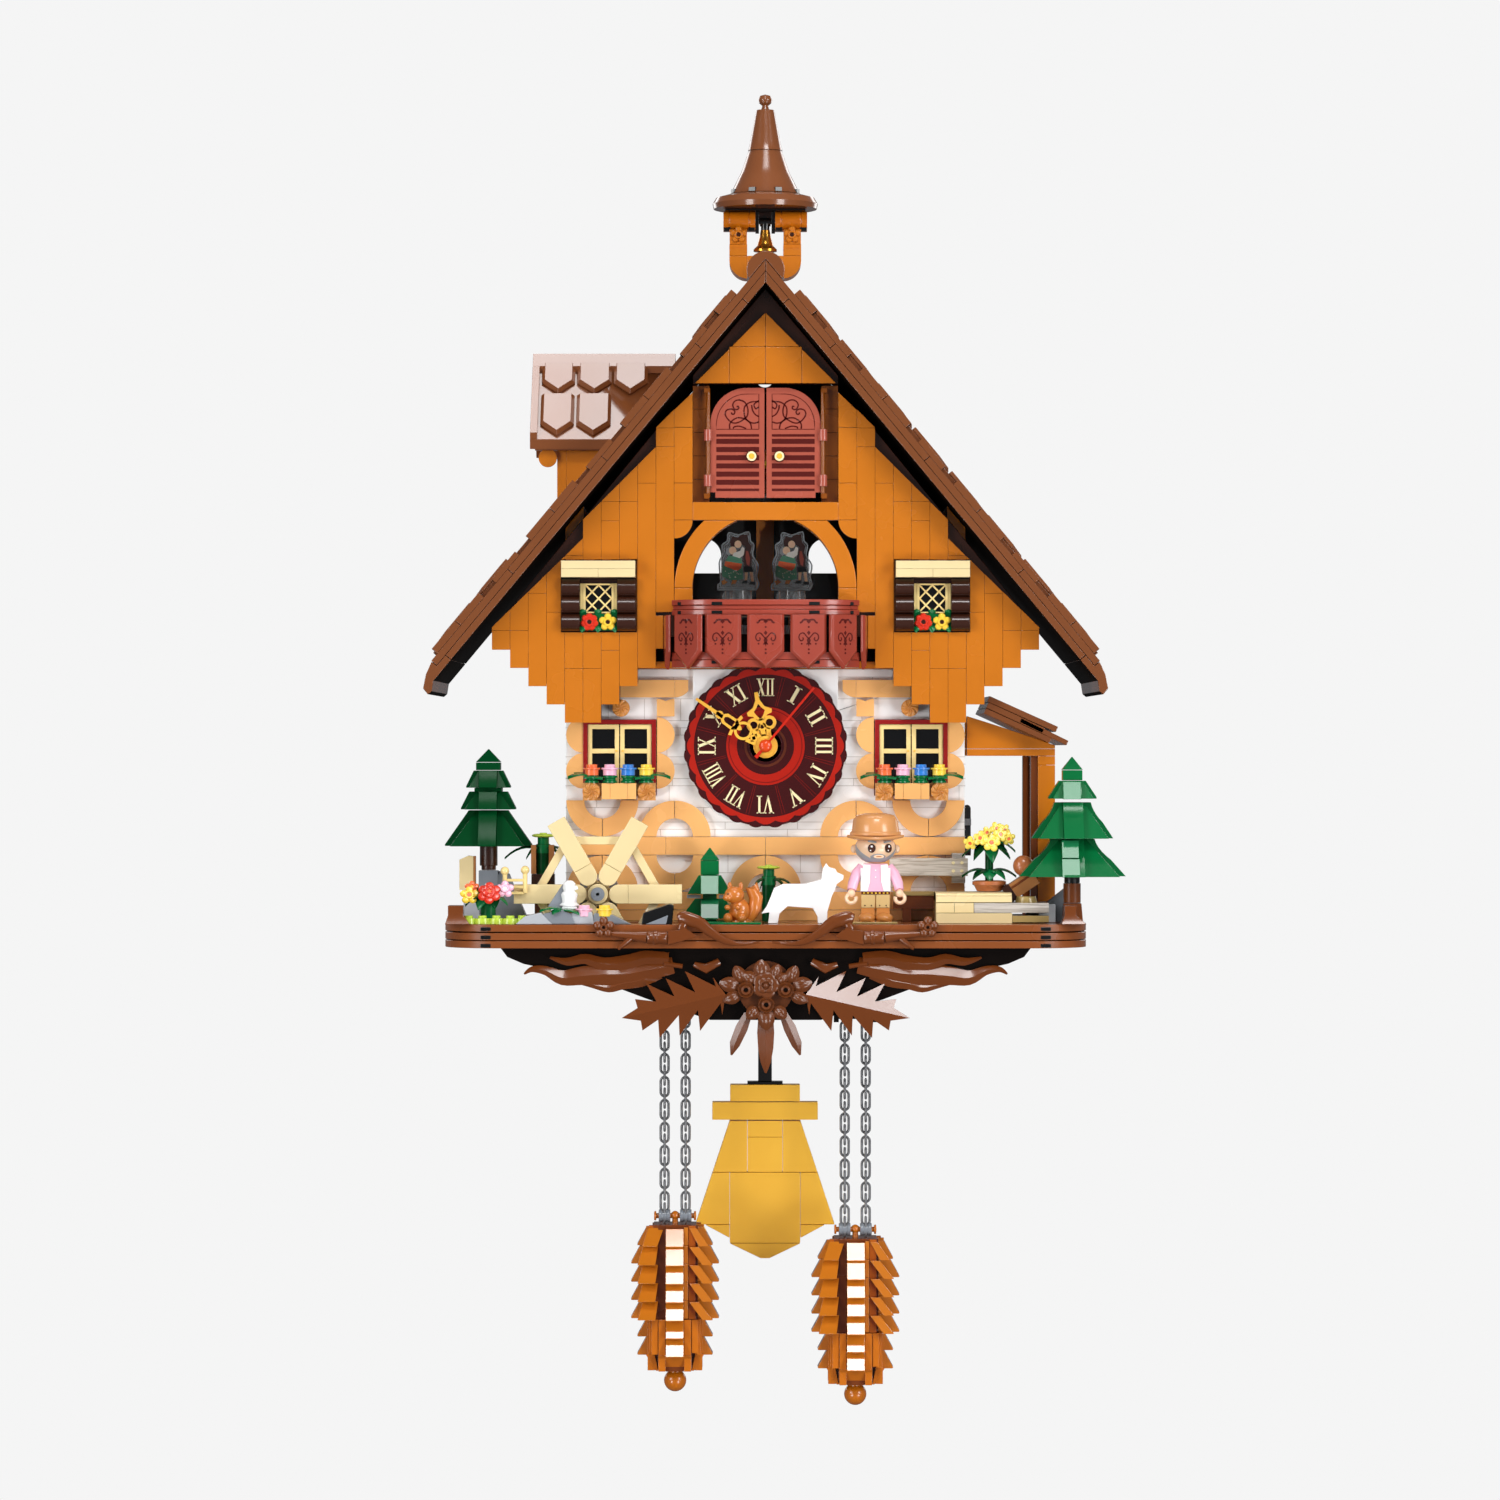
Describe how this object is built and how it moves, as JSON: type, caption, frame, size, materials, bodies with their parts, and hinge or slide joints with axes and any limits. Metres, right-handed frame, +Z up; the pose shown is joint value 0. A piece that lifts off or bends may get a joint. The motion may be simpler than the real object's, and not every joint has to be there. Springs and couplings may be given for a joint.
{
  "type": "cuckoo clock",
  "caption": "Brick-built chalet cuckoo clock with a pitched roof, belfry, round dial, shuttered cuckoo door, dancer carousel, mill wheel, swinging pendulum and pine-cone weights on chains.",
  "frame": {"origin": "centre of the wall-hook hole at the back face of the back panel (the wall plane)", "axes": "+Z up, +Y into the wall, +X to the right seen from the front; the clock faces -Y"},
  "size_m": [0.3062, 0.1484, 0.5857],
  "materials": {
    "orange_brick": "satin moulded bricks",
    "tan_brick": "satin moulded bricks",
    "cream_brick": "satin moulded bricks",
    "brown_brick": "satin moulded bricks",
    "roof_brick": "satin moulded bricks",
    "dark_brown_brick": "satin moulded bricks",
    "dusty_red_brick": "satin moulded bricks",
    "white_brick": "satin moulded bricks",
    "black_brick": "satin moulded bricks",
    "grey_brick": "satin moulded bricks",
    "green_brick": "satin moulded bricks",
    "figure_plastic": "glossy moulded figure parts",
    "printed_dial": "printed glossy plastic",
    "gold_plastic": "pearl gold moulded bricks",
    "gold_metal": "gold painted stamping",
    "red_metal": "red painted stamping",
    "battery_steel": "steel cell in a plain wrap",
    "clear_plastic": "clear acrylic",
    "grey_plastic_chain": "moulded plastic links"
  },
  "bodies": {
    "clock": {"back_panel": "black_brick", "deck_plates": "brown_brick", "keel": "black_brick", "front_wall": "white_brick", "side_walls": "white_brick", "upper_floor": "orange_brick", "gable_backing": "dark_brown_brick", "gable_left": "orange_brick", "gable_right": "orange_brick", "gable_centre": "orange_brick", "arch": "orange_brick", "cuckoo_jambs": "brown_brick", "roof_left": "roof_brick", "roof_right": "roof_brick", "ridge_cap": "roof_brick", "dormer_walls": "orange_brick", "dormer_roof": "roof_brick", "belfry_frame": "orange_brick", "spire": "roof_brick", "cuckoo_rails": "grey_brick", "balcony": "dusty_red_brick", "sun_gear": "grey_brick", "dial": "printed_dial", "movement_case": "black_brick", "battery": "battery_steel", "wall_trim": "tan_brick", "lower_windows": "cream_brick", "flower_boxes": "tan_brick", "upper_windows": "dark_brown_brick", "side_porch": "orange_brick", "gear_posts": "grey_brick", "wheel_stand": "grey_brick", "fir_trees": "green_brick", "rocks": "grey_brick", "plants": "green_brick", "bench_steps": "cream_brick", "man": "figure_plastic", "animals": "figure_plastic", "deck_antlers": "brown_brick", "keel_leaves": "brown_brick"},
    "left_door": {"left_door": "dusty_red_brick"},
    "right_door": {"right_door": "dusty_red_brick"},
    "cuckoo": {"cuckoo_bird": "orange_brick", "cuckoo_carriage": "brown_brick"},
    "carousel": {"carousel": "clear_plastic", "crown_gear": "grey_brick"},
    "left_dancers": {"left_dancers": "clear_plastic"},
    "right_dancers": {"right_dancers": "clear_plastic"},
    "crank": {"crank": "black_brick"},
    "hour_hand": {"hour_hand": "gold_metal"},
    "minute_hand": {"minute_hand": "gold_metal"},
    "second_hand": {"second_hand": "red_metal"},
    "mill_wheel": {"mill_wheel": "cream_brick"},
    "pendulum": {"pendulum_rod": "black_brick", "pendulum_bob": "gold_plastic"},
    "left_weight": {"left_chain": "grey_plastic_chain", "left_cone": "orange_brick"},
    "right_weight": {"right_chain": "grey_plastic_chain", "right_cone": "orange_brick"},
    "bell": {"bell": "gold_plastic"}
  },
  "joints": [
    {"name": "second_hand_turn", "type": "hinge", "parent": "clock", "child": "second_hand", "pos_m": [0, -0.1, -0.168], "axis": [0, 1, 0], "continuous": true},
    {"name": "minute_hand_turn", "type": "hinge", "parent": "clock", "child": "minute_hand", "pos_m": [0, -0.098, -0.168], "axis": [0, 1, 0], "continuous": true},
    {"name": "hour_hand_turn", "type": "hinge", "parent": "clock", "child": "hour_hand", "pos_m": [0, -0.097, -0.168], "axis": [0, 1, 0], "continuous": true},
    {"name": "cuckoo_slide", "type": "slide", "parent": "clock", "child": "cuckoo", "axis": [0, -1, 0], "range_m": [0, 0.028]},
    {"name": "left_door_hinge", "type": "hinge", "parent": "clock", "child": "left_door", "pos_m": [-0.0252, -0.1006, -0.035], "axis": [0, 0, -1], "range_deg": [0, 100]},
    {"name": "right_door_hinge", "type": "hinge", "parent": "clock", "child": "right_door", "pos_m": [0.0252, -0.1006, -0.035], "axis": [0, 0, 1], "range_deg": [0, 100]},
    {"name": "crank_turn", "type": "hinge", "parent": "clock", "child": "crank", "pos_m": [0.08, -0.056, -0.214], "axis": [1, 0, 0], "continuous": true},
    {"name": "carousel_turn", "type": "hinge", "parent": "clock", "child": "carousel", "pos_m": [0, -0.056, -0.111], "axis": [0, 0, 1], "continuous": true},
    {"name": "left_dancers_turn", "type": "hinge", "parent": "carousel", "child": "left_dancers", "pos_m": [-0.012, -0.056, -0.105], "axis": [0, 0, 1], "continuous": true},
    {"name": "right_dancers_turn", "type": "hinge", "parent": "carousel", "child": "right_dancers", "pos_m": [0.012, -0.056, -0.105], "axis": [0, 0, 1], "continuous": true},
    {"name": "mill_wheel_turn", "type": "hinge", "parent": "clock", "child": "mill_wheel", "pos_m": [-0.073, -0.119, -0.2325], "axis": [0, 1, 0], "continuous": true},
    {"name": "pendulum_swing", "type": "hinge", "parent": "clock", "child": "pendulum", "pos_m": [0, -0.023, -0.272], "axis": [0, 1, 0], "range_deg": [-8, 8]},
    {"name": "left_weight_swing", "type": "hinge", "parent": "clock", "child": "left_weight", "pos_m": [-0.0403, -0.056, -0.283], "axis": [-1, 0, 0], "range_deg": [-3, 20]},
    {"name": "right_weight_swing", "type": "hinge", "parent": "clock", "child": "right_weight", "pos_m": [0.0403, -0.056, -0.2891], "axis": [-1, 0, 0], "range_deg": [-3, 20]},
    {"name": "bell_swing", "type": "hinge", "parent": "clock", "child": "bell", "pos_m": [0, -0.06, 0.066], "axis": [1, 0, 0], "range_deg": [-20, 20]}
  ],
  "couplings": [
    {"joint": "minute_hand_turn", "follows": "second_hand_turn", "ratio": 0.016667},
    {"joint": "hour_hand_turn", "follows": "second_hand_turn", "ratio": 0.0013889},
    {"joint": "left_door_hinge", "follows": "cuckoo_slide", "rad_per_m": 62.3},
    {"joint": "right_door_hinge", "follows": "cuckoo_slide", "rad_per_m": 62.3},
    {"joint": "crank_turn", "follows": "carousel_turn", "ratio": -3},
    {"joint": "left_dancers_turn", "follows": "carousel_turn", "ratio": 2},
    {"joint": "right_dancers_turn", "follows": "carousel_turn", "ratio": 2}
  ]
}
